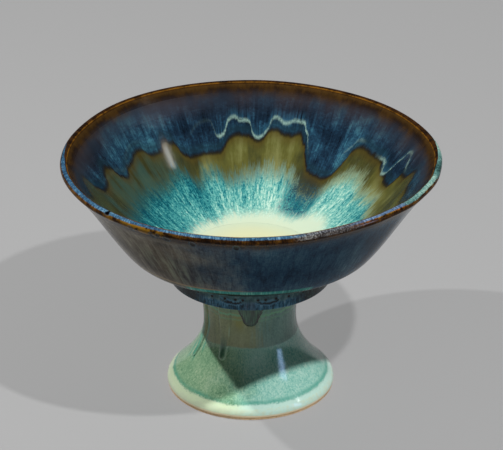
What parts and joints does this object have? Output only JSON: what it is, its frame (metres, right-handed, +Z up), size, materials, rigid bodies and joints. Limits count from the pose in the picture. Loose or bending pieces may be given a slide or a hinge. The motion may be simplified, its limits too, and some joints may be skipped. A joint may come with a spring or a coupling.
{
  "type": "pedestal bowl",
  "caption": "Wide glazed stoneware bowl with a sharp belly edge and collar, luted onto a hollow flared pedestal with a bare clay foot ring.",
  "frame": {"origin": "centre of the foot ring's bare clay face, on the surface that the bowl stands on", "axes": "+Z up along the axis of the wheel; -Y towards the thick glaze run on the front of the stem"},
  "size_m": [0.25, 0.25, 0.166],
  "materials": {
    "clay": "bare fired stoneware, buff to toasted orange",
    "rim_glaze": "glossy speckled lavender blue breaking to amber",
    "inside_glaze": "glossy flowing navy, olive green and teal bands",
    "pool_glaze": "glossy pooled cream yellow",
    "outside_glaze": "glossy slate blue over brown",
    "collar_glaze": "glossy dark blue, pooled",
    "pedestal_glaze": "glossy mottled olive and jade green",
    "foot_glaze": "glossy pale cream green roll",
    "drip_glaze": "glossy dark teal run"
  },
  "bodies": {
    "root": {"bowl_body": "clay", "pedestal_body": "clay", "luting_coil": "clay", "rim_glaze": "rim_glaze", "inside_glaze": "inside_glaze", "well_glaze_pool": "pool_glaze", "outside_glaze": "outside_glaze", "collar_glaze": "collar_glaze", "pedestal_glaze": "pedestal_glaze", "foot_glaze_roll": "foot_glaze", "front_glaze_drip": "drip_glaze", "left_glaze_run": "drip_glaze", "side_glaze_run": "drip_glaze"}
  },
  "joints": []
}
